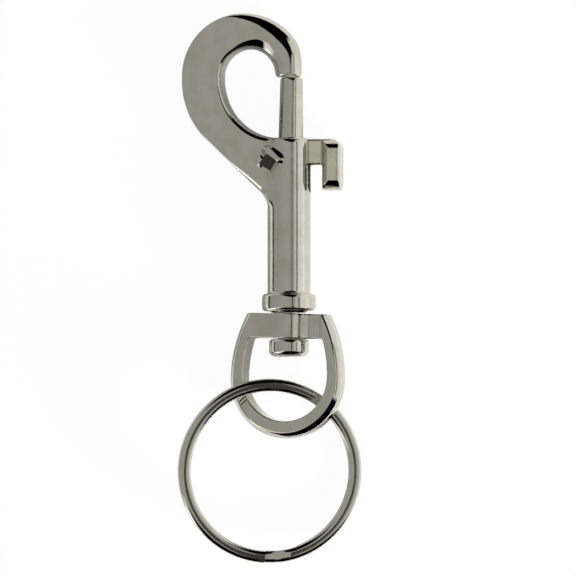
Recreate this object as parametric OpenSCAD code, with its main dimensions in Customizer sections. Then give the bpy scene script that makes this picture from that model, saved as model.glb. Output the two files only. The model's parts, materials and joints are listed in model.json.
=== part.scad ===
// Swivel bolt snap with a D-shaped eye and a two-turn split key ring.
// Millimetres, +Z up. The snap lies on its back as it comes to rest: the barrel runs along Y, the
// hook is at +Y, the thumb lever at +X. Each piece is drawn in the snap's own frame, with the barrel's
// axis on Y and the swivel face at Y = 0, and is then laid down by at_rest().

/* [Barrel] */
// Outside diameter of the barrel
barrel_d = 7.5; // [7.2:0.1:8.2]
// Length from the swivel face to the top rim
barrel_l = 30.1; // [29:0.1:32]
// Bore that guides the bolt
bore_d = 5; // [4.8:0.1:5.2]
// Rounding of the top rim
rim_edge = 0.8; // [0.4:0.1:0.9]
// Diameter of the collar at the swivel end
collar_d = 9.4; // [8.6:0.1:10.4]
// Height of the collar
collar_h = 3; // [2.4:0.1:3.6]
// Rounding of the collar's edges
collar_edge = 0.6; // [0.3:0.1:0.9]
// Diameter of the neck that the eye bears on
neck_d = 6.3; // [5.8:0.1:7]
// Height of the neck
neck_h = 0.3; // [0.2:0.1:0.8]

/* [Hook] */
// Barrel axis to the inside of the hook's back
hook_reach = 11.8; // [11.4:0.1:12.8]
// Width of the hook's back
hook_back_w = 6.8; // [6.2:0.1:7.4]
// Thickness of the hook, front to back
hook_t = 5.2; // [4.6:0.1:5.8]
// Height of the hook's middle above the barrel's rim
hook_rise = 10.85; // [10.6:0.05:11.6]
// Outer radius over the top of the hook
hook_top_r = 10.85; // [10.4:0.05:11.4]
// Outer radius of the hook's back, below the middle
hook_low_r = 14.2; // [13.5:0.1:15.5]
// Inner radius over the top of the hook
mouth_top_r = 4.7; // [4.2:0.1:5]
// Inner radius down to the barrel's rim
mouth_low_r = 10.4; // [9.8:0.1:11]
// Angle of the straight web to the barrel's side
web_angle = 46; // [42:0.5:50]
// Fillet between the web and the barrel's side
web_fillet_r = 2.5; // [1.5:0.1:4]
// Fillet between the web's faces and the barrel
cheek_r = 4; // [3:0.5:6]
// Rounding of the hook's edges at its back
hook_edge = 0.7; // [0.4:0.1:1.2]
// Barrel axis to the outer side of the nose
nose_side = 2.3; // [2.1:0.1:2.6]
// Thickness of the nose, front to back
nose_t = 4.4; // [4:0.1:4.8]
// Rounding of the nose's end
nose_edge = 0.6; // [0.3:0.1:0.9]
// How far the nose reaches below the hook's middle
nose_drop = 0.3; // [0.1:0.05:0.5]
// Width of the pocket in the nose's end, open to the front
seat_w = 2; // [1.6:0.1:2.2]
// Depth of the pocket
seat_depth = 0.8; // [0.4:0.1:1]

/* [Bolt] */
// Bolt diameter at its foot, above the guide
rod_foot_d = 4.5; // [4.2:0.1:4.6]
// Bolt diameter at its tip
rod_tip_d = 3.95; // [3.4:0.05:4.1]
// Rounding of the bolt's tip
rod_tip_edge = 0.45; // [0.2:0.05:0.7]
// Length of the guide in the bore
guide_l = 8.3; // [6:0.1:9]
// Travel from shut to open
bolt_travel = 4.3; // [3.5:0.1:4.6]
// Height of the lever bar
lever_h = 4.6; // [4:0.1:5]
// Thickness of the lever bar
lever_t = 2; // [1.6:0.1:2.4]
// Barrel axis to the outer face of the thumb pad
lever_reach = 9.3; // [9:0.05:10]
// Width of the thumb pad
pad_w = 3.3; // [3:0.1:3.8]
// Height of the thumb pad
pad_h = 9; // [8:0.1:9.6]
// Depth of the thumb pad, front to back
pad_t = 4.4; // [4:0.1:5.4]
// Rounding of the thumb pad's outer top corner
pad_corner = 1.8; // [1:0.1:2.2]
// Rounding of the thumb pad's front and back edges
pad_edge = 0.7; // [0.4:0.1:1]

/* [Spring] */
// Wire of the bolt's spring
spring_wire = 0.5; // [0.4:0.05:0.6]
// Working turns of the spring
spring_turns = 8; // [6:1:9]

/* [Swivel] */
// Diameter of the stud's shank
shank_d = 3.8; // [3.4:0.1:4]
// Diameter of the stud's head
head_d = 7; // [6.4:0.1:7.4]
// Height of the stud's head
head_h = 3; // [2.4:0.1:3.2]
// Rounding of the head's lower edge
head_edge = 1.1; // [0.6:0.1:1.3]
// Depth of the stud's plug in the bore
plug_l = 3.5; // [2.5:0.1:5]
// Width of the eye
eye_w = 20.5; // [19:0.1:21]
// Height of the eye
eye_h = 21.7; // [21:0.1:23]
// Depth of the eye's legs and bow, front to back
eye_t = 3.8; // [3.4:0.1:4.2]
// Width of the eye's legs
leg_w = 2.5; // [2.2:0.1:2.8]
// Outer radius of the legs
leg_r = 24.5; // [22:0.5:30]
// Width of the bow at its lowest point
bow_w = 3; // [2.6:0.1:3.6]
// Height of the bar across the top
bar_h = 4.35; // [4:0.05:4.8]
// Diameter of the round boss on the bar, about the stud
bar_t = 6.4; // [6:0.1:7]
// Fillet between the boss and the bar
bar_fillet_r = 10; // [6:0.5:12]
// Rounding of the eye's outer edges
eye_edge = 0.9; // [0.4:0.1:1.2]
// Rounding of the eye's inner edges
eye_lip = 0.4; // [0.2:0.1:0.6]

/* [Split ring] */
// Outside diameter of the ring
ring_od = 32; // [31.5:0.1:33]
// Width of the wire across the ring
ring_wire_w = 2.1; // [1.8:0.1:2.3]
// Thickness of the wire along the ring's axis
ring_wire_t = 1.05; // [0.9:0.05:1.2]
// Gap between the two turns
ring_gap = 0.08; // [0.06:0.01:0.15]
// Rounding of the wire's edges, across the ring
ring_edge_w = 0.8; // [0.4:0.05:0.85]
// Rounding of the wire's edges, along the ring's axis
ring_edge_t = 0.45; // [0.2:0.05:0.45]

/* [Clearances] */
// Bolt guide in the bore, all round
guide_clearance = 0.05; // [0.03:0.01:0.1]
// Lever bar in the slot, each side
slot_clearance = 0.15; // [0.1:0.01:0.3]
// Eye on the stud, all round
eye_clearance = 0.08; // [0.03:0.01:0.1]
// Eye between the neck and the stud's head, each end
eye_play = 0.12; // [0.1:0.01:0.2]
// Plug in the bore, all round
plug_clearance = 0.01; // [0.01:0.01:0.02]
// Bolt tip to the nose when shut
tip_gap = 0.05; // [0.03:0.01:0.2]

/* [Rest pose] */
// Tilt of the eye on its stud, lever side down
eye_tilt = 1.6; // [0:0.1:1.8]
// Tilt of the ring across the snap, lever side down
ring_roll = 17.5; // [17:0.1:18]
// Tilt of the ring along the snap, far end down
ring_pitch = 2.5; // [2:0.1:3]
// How far the ring's middle lies beside the eye's middle
ring_aside = 3.6; // [3.3:0.1:3.9]
// How far the ring's top reaches into the eye, above the bow
ring_slack = 5.3; // [5:0.1:5.5]
// Gap between the ring and the eye's legs where they cross
ring_play = 0.2; // [0.2:0.05:0.4]

/* [Hidden] */
$fn = 64;
NICKEL = "#A9A59B";
SPRING_STEEL = "#8B8C8D";

// How far cutters and joined pieces run past a face
OVER = 0.5;
// Overlap of two halves of one outline
LAP = 0.01;
// Gap between faces that touch
FACE_GAP = 0.02;
// Points in each corner of a rounded section
HOOK_CORNER = 7;
RING_CORNER = 5;
WIRE_SIDES = 8;
TURN_STEPS = 12;
LARGE_FN = 180;
// Angles along the hook, from the nose at 0 round the top and down to the barrel
HOOK_START = 301.5;
HOOK_STEP = 7.5;
HOOK_END = 9;
NOSE_TURN = 75;
WEB_TURN = 285;
NOSE_THINS = [20, 110];
NOSE_ROUNDS = [45, 118];
// Sharpness of the bend from the top arc to the nose's side
NOSE_BEND = 24;
// Share of the half width that the nose's rounding takes
NOSE_SHARE = 0.97;
// Drop of the back's arc below the top arc
BACK_DROP = 0.9;
// The pocket starts in front of the nose's middle, beside the barrel's axis
SEAT_BACK = 0.3;
SEAT_ASIDE = 0.35;
LEVER_BELOW_RIM = 0.2;
GUIDE_BELOW_LEVER = 2;
GUIDE_EDGE = 0.3;
BUTT_EDGE = 0.1;
HEAD_TOP_EDGE = 0.6;
SPRING_CLEARANCE = 0.15;
// Fillets beside the barrel: how far they sink in, and where they end below the rim
CHEEK_SINK = 0.02;
CHEEK_BELOW_RIM = [1.5, 3.5];
// Stake mark: side of the punch, place and turn
STAKE_SIDE = 2;
STAKE_BELOW_RIM = 5;
STAKE_OUT = 0.35;
STAKE_LEAN = [0, -20, 28];
STAKE_TURN = [45, 35, 0];
// Angles along the ring's wire, from the front end to the back end
RING_START = 266;
RING_STEP = 6;
RING_END = -430;
RING_CROSSES = [77, 92];

// Hook outlines are measured along rays from the middle of the hook's top arc
hook_out = hook_reach + hook_back_w;
hook_c = [hook_top_r - hook_out, barrel_l + hook_rise];
hook_top = hook_c[1] + hook_top_r;
low_c = [hook_low_r - hook_out, hook_c[1] - BACK_DROP] - hook_c;
mouth_top_c = [mouth_top_r - hook_reach, hook_c[1]] - hook_c;
mouth_low_c = [mouth_low_r - hook_reach, barrel_l + mouth_low_r] - hook_c;
web_normal = 180 + web_angle;
web_foot = low_c + hook_low_r * [cos(web_normal), sin(web_normal)];
web_dist = web_foot * [cos(web_normal), sin(web_normal)];
web_start = 360 + atan2(web_foot[1], web_foot[0]);
root_x = barrel_d / 4 - hook_c[0];
nose_end = hook_c[1] - nose_drop;
cheek_z = hook_t / 2 + cheek_r - CHEEK_SINK;
cheek_x = sqrt(pow(barrel_d / 2 + cheek_r - CHEEK_SINK, 2) - pow(cheek_z, 2));

// Bolt
guide_r = bore_d / 2 - guide_clearance;
rod_tip_y = nose_end - tip_gap;
lever_top = barrel_l - LEVER_BELOW_RIM;
lever_low = lever_top - lever_h;
guide_top = lever_low - GUIDE_BELOW_LEVER;
guide_low = guide_top - guide_l;
rod_side = guide_r - FACE_GAP;
rod_l = rod_tip_y - guide_top;
rod_lean = atan((rod_foot_d - rod_tip_d) / 2 / rod_l);
slot_w = lever_t + 2 * slot_clearance;
slot_low = lever_low - bolt_travel - 2 * slot_clearance;

// Swivel
eye_top = -neck_h - eye_play;
bar_low = eye_top - bar_h;
eye_low = eye_top - eye_h;
bow_r = eye_w / 2;
bow_y = eye_low + bow_r;
loop_r = bow_r - leg_w;
loop_y = eye_low + bow_w + loop_r;
bar_mid = bar_low + bar_h / 2;
bar_fillet_z = eye_t / 2 + bar_fillet_r;
bar_fillet_x = sqrt(pow(bar_t / 2 + bar_fillet_r, 2) - pow(bar_fillet_z, 2));
bar_web_z = bar_fillet_z * bar_t / (bar_t + 2 * bar_fillet_r);
head_top = bar_low - eye_play;
plug_top = plug_l - neck_h;

// Spring, between the plug and the guide
spring_r = bore_d / 2 - SPRING_CLEARANCE - spring_wire / 2;
spring_low = plug_top + FACE_GAP + spring_wire / 2;
spring_high = guide_low - FACE_GAP - spring_wire / 2;

// Split ring
ring_t = 2 * ring_wire_t + ring_gap;
ring_mean_r = (ring_od - ring_wire_w) / 2;

// Rest: the collar, the barrel's rim and the back of the hook lie on the floor
rest_pitch = -atan((collar_d - barrel_d) / 2 / (barrel_l - rim_edge - collar_h + collar_edge));
rest_lift = collar_d / 2 * cos(rest_pitch) - (collar_h - collar_edge) * sin(rest_pitch);
heel = (hook_top_r - hook_edge) * sin(45);
heel_lift = rest_lift + (hook_c[1] + heel) * sin(rest_pitch) - hook_t / 2;
rest_roll = -asin(heel_lift / (heel - hook_c[0]));

// The ring lies over one leg of the eye and under the other, with its rim on the floor
ring_y = eye_low + bow_w + ring_slack + ring_wire_w - ring_od / 2;
ring_x = -ring_aside * cos(ring_roll);
ring_nz = cos(ring_roll) * cos(ring_pitch);
ring_nx = sqrt(1 - ring_nz * ring_nz);
ring_z = (ring_od / 2 - ring_edge_w) * ring_nx + (ring_t / 2 - ring_edge_t) * ring_nz
    + norm([ring_edge_w * ring_nx, ring_edge_t * ring_nz]);
cross_x = loop_r - leg_w / 2;
cross_z = eye_t / 2 + ring_play;
cross_angle = atan2(cross_z, cross_x) + asin(ring_t / 2 / norm([cross_x, cross_z]));
eye_turn = cross_angle - ring_roll;
mid_x = ring_x;
mid_y = (hook_top + ring_y - ring_od / 2) / 2;

// Common helpers

function mix(a, b, t) = a + (b - a) * t;

function ease(x, span) =
    let (t = min(1, max(0, (x - span[0]) / (span[1] - span[0]))))
    t * t * (3 - 2 * t);

function soft_min(a, b, n) = pow(pow(a, -n) + pow(b, -n), -1 / n);

// Distance along a ray to the far side of a circle
function ray(c, r, a) =
    let (k = c * [cos(a), sin(a)])
    k + sqrt(k * k - c * c + r * r);

// Rounded rectangle as a ring of points: half sizes w and h, oval corners ew by eh of n points
function round_rect(w, h, ew, eh, n) = [
    for (k = [0:3], j = [0:n - 1])
        let (
            a = 90 * (k + j / (n - 1)),
            sx = (k == 0 || k == 3) ? 1 : -1,
            sy = k < 2 ? 1 : -1
        )
        [sx * (w - ew) + ew * cos(a), sy * (h - eh) + eh * sin(a)]
];

// Closed skin over a row of equal rings of points
module skin(rings) {
    n = len(rings[0]);
    last = (len(rings) - 1) * n;
    sides = [
        for (i = [0:len(rings) - 2], j = [0:n - 1])
            let (a = i * n + j, b = i * n + (j + 1) % n)
            each [[a, a + n, b + n], [a, b + n, b]]
    ];
    caps = [[for (j = [0:n - 1]) j], [for (j = [n - 1:-1:0]) last + j]];
    polyhedron([for (r = rings) each r], concat(sides, caps), convexity = 6);
}

// Half profile of a turned disc with rounded edges
module disc_profile(r, h, low_e, high_e) {
    translate([0, low_e])
        square([r, h - low_e - high_e]);
    square([r - low_e, h / 2]);
    translate([0, h / 2])
        square([r - high_e, h / 2]);
    translate([r - low_e, low_e])
        circle(low_e);
    translate([r - high_e, h - high_e])
        circle(high_e);
}

module turned_on_y() {
    rotate([-90, 0, 0])
        rotate_extrude()
            children();
}

module at_rest(roll) {
    translate([-mid_x, -mid_y, rest_lift])
        rotate([rest_pitch, 0, 0])
            rotate([0, roll, 0])
                children();
}

// Hook: a loft whose section goes from a flat bar at the back to a round nose

function hook_outer(a) =
    a < NOSE_TURN ? soft_min(hook_top_r, (nose_side - hook_c[0]) / cos(a), NOSE_BEND)
    : a < 180 ? hook_top_r
    : a < web_start ? ray(low_c, hook_low_r, a)
    : a < WEB_TURN ? web_dist / cos(a - web_normal)
    : min(web_dist / cos(a - web_normal), root_x / cos(a));

function hook_inner(a) =
    a < 180 ? ray(mouth_top_c, mouth_top_r, a) : ray(mouth_low_c, mouth_low_r, a);

function hook_section(a, inset) =
    let (
        w = (hook_outer(a) - hook_inner(a)) / 2 - inset,
        h = mix(nose_t, hook_t, ease(a, NOSE_THINS)) / 2 - inset,
        flat = ease(a, NOSE_ROUNDS),
        ew = mix(w * NOSE_SHARE, hook_edge, flat),
        eh = mix(h * NOSE_SHARE, hook_edge, flat)
    )
    round_rect(w, h, ew, eh, HOOK_CORNER);

function hook_station(a) =
    let (m = (hook_outer(a) + hook_inner(a)) / 2)
    [
        for (p = hook_section(a, 0))
            [hook_c[0] + (m + p[0]) * cos(a), hook_c[1] + (m + p[0]) * sin(a), p[1]]
    ];

function nose_station(t) =
    let (m = (hook_outer(0) + hook_inner(0)) / 2)
    [
        for (p = hook_section(0, nose_edge * (1 - sin(t))))
            [hook_c[0] + m + p[0], nose_end + nose_edge * (1 - cos(t)), p[1]]
    ];

module hook() {
    skin([
        for (a = [HOOK_START:-HOOK_STEP:HOOK_END]) hook_station(a),
        for (t = [90:-30:0]) nose_station(t)
    ]);
}

// Fillet where the web runs into the barrel's side
module web_fillet() {
    n = [cos(web_normal), sin(web_normal)];
    fx = -barrel_d / 2 - web_fillet_r;
    fy = hook_c[1] + (web_dist + web_fillet_r - (fx - hook_c[0]) * n[0]) / n[1];
    linear_extrude(hook_t - 2 * hook_edge, center = true)
        difference() {
            polygon([
                [fx, fy] - n * web_fillet_r,
                [-barrel_d / 2 + OVER, fy + web_fillet_r],
                [-barrel_d / 2 + OVER, fy],
                [-barrel_d / 2, fy]
            ]);
            translate([fx, fy])
                circle(web_fillet_r);
        }
}

// Height of the web's lower edge, inside its rounding
function web_low(x) =
    hook_c[1] + (web_dist - hook_edge - (x - hook_c[0]) * cos(web_normal)) / sin(web_normal);

// Fillets that lead both faces of the web onto the barrel, with a slanted upper end
module web_cheeks() {
    for (side = [0, 1])
        mirror([0, 0, side])
            intersection() {
                translate([0, barrel_l, 0])
                    rotate([90, 0, 0])
                        linear_extrude(barrel_l)
                            difference() {
                                translate([-cheek_x, 0])
                                    square([cheek_x, cheek_z * barrel_d / (barrel_d + 2 * cheek_r)]);
                                translate([-cheek_x, cheek_z])
                                    circle(cheek_r);
                            }
                linear_extrude(barrel_d)
                    polygon([
                        [-cheek_x, web_low(-cheek_x)],
                        [0, web_low(0)],
                        [0, barrel_l - CHEEK_BELOW_RIM[1]],
                        [-cheek_x, barrel_l - CHEEK_BELOW_RIM[0]]
                    ]);
            }
}

module barrel() {
    turned_on_y() {
        translate([0, -neck_h])
            square([neck_d / 2, neck_h + OVER]);
        disc_profile(collar_d / 2, collar_h, collar_edge, collar_edge);
        translate([0, collar_h - OVER])
            disc_profile(barrel_d / 2, barrel_l - collar_h + OVER, BUTT_EDGE, rim_edge);
    }
}

// Stake mark: one slanted blow beside the bore
module stake_mark() {
    translate([-barrel_d / 2, barrel_l - STAKE_BELOW_RIM, hook_t / 2 + STAKE_OUT])
        rotate(STAKE_LEAN)
            rotate(STAKE_TURN)
                cube(STAKE_SIDE, center = true);
}

// Slot for the lever, open at the rim and round at its lower end
module lever_slot() {
    low = slot_low + slot_w / 2;
    translate([0, low, -slot_w / 2])
        cube([barrel_d, barrel_l - low + OVER, slot_w]);
    translate([0, low, 0])
        rotate([0, 90, 0])
            cylinder(d = slot_w, h = barrel_d);
}

module snap_body() {
    color(NICKEL)
        at_rest(rest_roll)
            difference() {
                union() {
                    hook();
                    web_fillet();
                    web_cheeks();
                    barrel();
                }
                translate([0, -neck_h - OVER, 0])
                    turned_on_y()
                        square([bore_d / 2, barrel_l + neck_h + 2 * OVER]);
                lever_slot();
                translate([SEAT_ASIDE, nose_end + seat_depth - seat_w / 2, SEAT_BACK])
                    cylinder(d = seat_w, h = nose_t);
                stake_mark();
            }
}

// Thumb pad: one block rounded in three views
module thumb_pad() {
    intersection() {
        linear_extrude(pad_t, center = true)
            difference() {
                translate([lever_reach - pad_w, lever_top - pad_h])
                    square([pad_w, pad_h]);
                translate([lever_reach - pad_corner, lever_top - pad_corner])
                    difference() {
                        square(pad_corner + OVER);
                        circle(pad_corner);
                    }
            }
        translate([lever_reach - pad_w / 2, lever_top, 0])
            rotate([90, 0, 0])
                linear_extrude(pad_h)
                    soft_square(pad_w, pad_t, pad_edge);
        translate([lever_reach, lever_top - pad_h / 2, 0])
            rotate([0, -90, 0])
                linear_extrude(pad_w)
                    soft_square(pad_t, pad_h, 2 * pad_edge);
    }
}

module soft_square(w, h, e) {
    square([w - 2 * e, h], center = true);
    square([w, h - 2 * e], center = true);
    for (x = [-1, 1], y = [-1, 1])
        translate([x * (w / 2 - e), y * (h / 2 - e)])
            circle(e);
}

module bolt() {
    color(NICKEL)
        at_rest(rest_roll) {
            translate([0, guide_low, 0])
                turned_on_y()
                    disc_profile(guide_r, guide_l, GUIDE_EDGE, GUIDE_EDGE);
            translate([rod_side - rod_foot_d / 2, guide_top - OVER, 0])
                rotate([0, 0, -rod_lean])
                    turned_on_y()
                        rod_profile();
            translate([0, lever_low + lever_t / 2, -lever_t / 2])
                cube([lever_reach - pad_w + OVER, lever_h - lever_t / 2, lever_t]);
            translate([0, lever_low + lever_t / 2, 0])
                rotate([0, 90, 0])
                    cylinder(d = lever_t, h = lever_reach - pad_w + OVER);
            thumb_pad();
        }
}

// Tapered bolt with a rounded tip
module rod_profile() {
    l = rod_l + OVER;
    polygon([
        [0, 0],
        [rod_foot_d / 2, 0],
        [rod_tip_d / 2, l - rod_tip_edge],
        [rod_tip_d / 2 - rod_tip_edge, l],
        [0, l]
    ]);
    translate([rod_tip_d / 2 - rod_tip_edge, l - rod_tip_edge])
        circle(rod_tip_edge);
}

// Round wire along a helix about Y
function helix_station(t) =
    let (
        a = 360 * spring_turns * t,
        y = mix(spring_low, spring_high, t)
    )
    [
        for (k = [0:WIRE_SIDES - 1])
            let (
                b = 360 * k / WIRE_SIDES,
                r = spring_r + spring_wire / 2 * cos(b)
            )
            [r * cos(a), y + spring_wire / 2 * sin(b), r * sin(a)]
    ];

module bolt_spring() {
    steps = TURN_STEPS * spring_turns;
    color(SPRING_STEEL)
        at_rest(rest_roll)
            skin([for (i = [0:steps]) helix_station(i / steps)]);
}

module swivel_stud() {
    color(NICKEL)
        at_rest(rest_roll)
            turned_on_y() {
                translate([0, head_top - head_h])
                    disc_profile(head_d / 2, head_h, head_edge, HEAD_TOP_EDGE);
                translate([0, head_top - OVER])
                    square([shank_d / 2, -neck_h - head_top + 2 * OVER]);
                translate([0, -neck_h])
                    square([bore_d / 2 - plug_clearance, plug_l]);
            }
}

// Disc lying in the eye's plane with a rounded rim
module eye_disc(r) {
    translate([0, 0, -eye_t / 2])
        rotate_extrude($fn = LARGE_FN)
            disc_profile(r, eye_t, eye_edge, eye_edge);
}

// Hole through the eye with rounded lips
module eye_hole(r) {
    rotate_extrude($fn = LARGE_FN)
        difference() {
            translate([0, -eye_t / 2 - OVER])
                square([r + eye_lip, eye_t + 2 * OVER]);
            translate([r, eye_lip - eye_t / 2])
                square([eye_lip, eye_t - 2 * eye_lip]);
            for (y = [-1, 1])
                translate([r + eye_lip, y * (eye_t / 2 - eye_lip)])
                    circle(eye_lip);
        }
}

module above(y, top) {
    translate([-eye_w, y, -eye_w])
        cube([2 * eye_w, top - y, 2 * eye_w]);
}

module eye_body() {
    intersection() {
        translate([0, bow_y, 0])
            eye_disc(bow_r);
        above(eye_low - OVER, bow_y + LAP);
    }
    intersection() {
        translate([bow_r - leg_r, bow_y, 0])
            eye_disc(leg_r);
        translate([leg_r - bow_r, bow_y, 0])
            eye_disc(leg_r);
        above(bow_y, eye_top);
    }
}

module eye_opening() {
    intersection() {
        translate([0, loop_y, 0])
            eye_hole(loop_r);
        above(eye_low, loop_y + LAP);
    }
    intersection() {
        translate([bow_r - leg_r, loop_y, 0])
            eye_hole(leg_r - leg_w);
        translate([leg_r - bow_r, loop_y, 0])
            eye_hole(leg_r - leg_w);
        above(loop_y, bar_low);
    }
}

// Round boss about the stud that runs into the flat bar on both sides
module eye_boss() {
    translate([0, bar_low, 0])
        rotate([-90, 0, 0])
            linear_extrude(bar_h) {
                circle(d = bar_t);
                difference() {
                    square(2 * [bar_fillet_x, bar_web_z], center = true);
                    for (x = [-1, 1], y = [-1, 1])
                        translate([x * bar_fillet_x, y * bar_fillet_z])
                            circle(bar_fillet_r);
                }
            }
}

module swivel_eye() {
    color(NICKEL)
        at_rest(-eye_turn)
            translate([0, bar_mid, 0])
                rotate([0, 0, -eye_tilt])
                    translate([0, -bar_mid, 0])
                        difference() {
                            union() {
                                difference() {
                                    eye_body();
                                    eye_opening();
                                }
                                eye_boss();
                            }
                            translate([0, bar_low - OVER, 0])
                                turned_on_y()
                                    square([shank_d / 2 + eye_clearance, bar_h + 2 * OVER]);
                        }
}

// One wire that runs round in front, steps back and runs round behind
function ring_layer(a) = mix(0.5, -0.5, ease(-a, RING_CROSSES)) * (ring_wire_t + ring_gap);

function ring_station(a) = [
    for (p = round_rect(ring_wire_w / 2, ring_wire_t / 2, ring_edge_w, ring_edge_t, RING_CORNER))
        let (r = ring_mean_r + p[0])
        [r * cos(a), r * sin(a), p[1] + ring_layer(a)]
];

module split_ring() {
    color(NICKEL)
        translate([ring_x - mid_x, ring_y - mid_y, ring_z])
            rotate([ring_pitch, ring_roll, 0])
                skin([for (a = [RING_START:-RING_STEP:RING_END]) ring_station(a)]);
}

snap_body();
bolt();
bolt_spring();
swivel_stud();
swivel_eye();
split_ring();
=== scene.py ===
# %% [markdown]
# # A belt snap in bright nickel
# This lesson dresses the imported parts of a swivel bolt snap: a cast hook with a barrel, a sliding bolt
# with a thumb pad, a D-shaped swivel eye and a split key ring. Bright nickel works like a mirror, so
# flat facets would show at once. Every piece that can be seen is therefore modelled again here with
# smooth, rounded forms at the sizes of the solid parts.

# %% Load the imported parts
import json
import math

import bmesh
import bpy
from mathutils import Matrix, Vector


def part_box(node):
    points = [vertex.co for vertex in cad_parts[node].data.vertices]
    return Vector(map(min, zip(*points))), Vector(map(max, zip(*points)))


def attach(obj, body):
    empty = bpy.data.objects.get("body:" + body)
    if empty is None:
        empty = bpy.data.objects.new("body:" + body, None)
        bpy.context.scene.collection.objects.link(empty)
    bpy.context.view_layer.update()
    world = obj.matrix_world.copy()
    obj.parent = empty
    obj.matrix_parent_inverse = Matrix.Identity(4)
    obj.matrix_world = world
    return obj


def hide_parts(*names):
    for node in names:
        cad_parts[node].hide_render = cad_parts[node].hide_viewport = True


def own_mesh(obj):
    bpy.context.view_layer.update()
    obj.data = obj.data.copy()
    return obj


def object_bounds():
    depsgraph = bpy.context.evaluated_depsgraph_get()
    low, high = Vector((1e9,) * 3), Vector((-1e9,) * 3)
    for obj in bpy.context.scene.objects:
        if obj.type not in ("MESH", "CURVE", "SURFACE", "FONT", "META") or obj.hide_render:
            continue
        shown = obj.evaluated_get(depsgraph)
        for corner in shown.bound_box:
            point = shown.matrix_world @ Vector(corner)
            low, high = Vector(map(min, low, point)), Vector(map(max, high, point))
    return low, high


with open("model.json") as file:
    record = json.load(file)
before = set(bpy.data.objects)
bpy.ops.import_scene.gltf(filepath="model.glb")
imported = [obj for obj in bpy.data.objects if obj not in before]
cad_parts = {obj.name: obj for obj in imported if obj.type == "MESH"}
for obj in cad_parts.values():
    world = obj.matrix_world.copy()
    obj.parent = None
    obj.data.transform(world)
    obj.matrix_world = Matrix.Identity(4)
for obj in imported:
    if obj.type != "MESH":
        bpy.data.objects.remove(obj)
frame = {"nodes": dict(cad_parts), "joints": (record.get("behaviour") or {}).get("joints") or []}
cad_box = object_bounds()
print("parts:", sorted(frame["nodes"]))

# %% [markdown]
# ## The snap's own frame
# The snap lies on its back and leans a little. It could be modelled as it lies, but every size would
# then be slanted. It is modelled upright instead: barrel axis on Y, swivel face at Y = 0, all in
# millimetres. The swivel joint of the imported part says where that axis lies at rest, and one matrix
# then lays each piece down in metres.

# %% From the snap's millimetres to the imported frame
MM = 0.001
SWIVEL_BELOW = 2.5  # from the joint's point up to the swivel face
BODY_ROLL = -1.855  # degrees about the barrel's axis

swivel = next(j for j in frame["joints"] if j["name"] == "eye_swivel")
axis = Vector(swivel["axis"]).normalized()
origin = Vector(swivel["pos_m"]) + SWIVEL_BELOW * MM * axis


def laid(roll):
    pitch = Matrix.Rotation(math.atan2(axis.z, axis.y), 4, "X")
    turn = Matrix.Rotation(math.radians(roll), 4, "Y")
    return Matrix.Translation(origin) @ pitch @ turn @ Matrix.Scale(MM, 4)


print("barrel axis", tuple(round(c, 4) for c in axis))

# %% [markdown]
# ## Colours and shader nodes
# Colours are written as sRGB hex, as a colour picker shows them, and turned to the linear values that
# Blender renders with. Nodes could be added one line at a time. One helper that adds a node, sets it up
# and links it keeps each material readable from top to bottom.


# %% Helpers for colours and nodes
def linear(code):
    parts = [int(code[i:i + 2], 16) / 255 for i in (1, 3, 5)]
    lit = [c / 12.92 if c <= 0.04045 else ((c + 0.055) / 1.055) ** 2.4 for c in parts]
    return (*lit, 1.0)


def add(tree, kind, links=None, **settings):
    node = tree.nodes.new(kind)
    for name, value in settings.items():
        if hasattr(node, name):
            setattr(node, name, value)
        else:
            node.inputs[name.replace("_", " ")].default_value = value
    for name, source in (links or {}).items():
        if isinstance(source, (int, float)):
            node.inputs[name].default_value = source
        else:
            tree.links.new(source, node.inputs[name])
    return node


def empty_material(name):
    material = bpy.data.materials.new(name)
    material.use_nodes = True
    material.node_tree.nodes.clear()
    return material, material.node_tree


# %% [markdown]
# ## Bright nickel over a casting
# Electroplated nickel is a warm grey mirror. One plain metal shader would look like a computer's chrome.
# Over die-cast zinc the plate keeps a little of the casting's skin, so the tone is cloudy, the
# reflections are slightly soft, and they waver. The clouds are about 3 mm wide and the fine skin about
# 0.25 mm. The ripple is about 0.5 mm long on the casting and 1.5 mm on the wire, and very shallow.

# %% Metal with clouds, skin and ripple
CLOUD_MM = 3.0
CLOUD_STOPS = (0.3, 0.6)
SKIN_MM = 0.25
GLOSS_RANGE = (0.6, 1.4)


def cloudy_metal(name, light, dark, roughness, ripple_mm, ripple_depth):
    material, tree = empty_material(name)
    place = add(tree, "ShaderNodeTexCoord").outputs["Object"]
    clouds = add(tree, "ShaderNodeTexNoise", {"Vector": place}, Scale=1 / (CLOUD_MM * MM), Detail=5.0)
    tone = add(tree, "ShaderNodeValToRGB", {"Fac": clouds.outputs["Fac"]})
    for element, stop, code in zip(tone.color_ramp.elements, CLOUD_STOPS, (dark, light)):
        element.position, element.color = stop, linear(code)
    skin = add(tree, "ShaderNodeTexNoise", {"Vector": place}, Scale=1 / (SKIN_MM * MM), Detail=3.0)
    gloss = add(tree, "ShaderNodeMapRange",
                {"Value": skin.outputs["Fac"], "To Min": roughness * GLOSS_RANGE[0],
                 "To Max": roughness * GLOSS_RANGE[1]})
    ripple = add(tree, "ShaderNodeTexNoise", {"Vector": place}, Scale=1 / (ripple_mm * MM), Detail=2.0)
    bump = add(tree, "ShaderNodeBump", {"Height": ripple.outputs["Fac"]}, Strength=1.0,
               Distance=ripple_depth * MM)
    surface = add(tree, "ShaderNodeBsdfPrincipled",
                  {"Base Color": tone.outputs["Color"], "Roughness": gloss.outputs["Result"],
                   "Normal": bump.outputs["Normal"]}, Metallic=1.0)
    add(tree, "ShaderNodeOutputMaterial", {"Surface": surface.outputs["BSDF"]})
    return material


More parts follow.
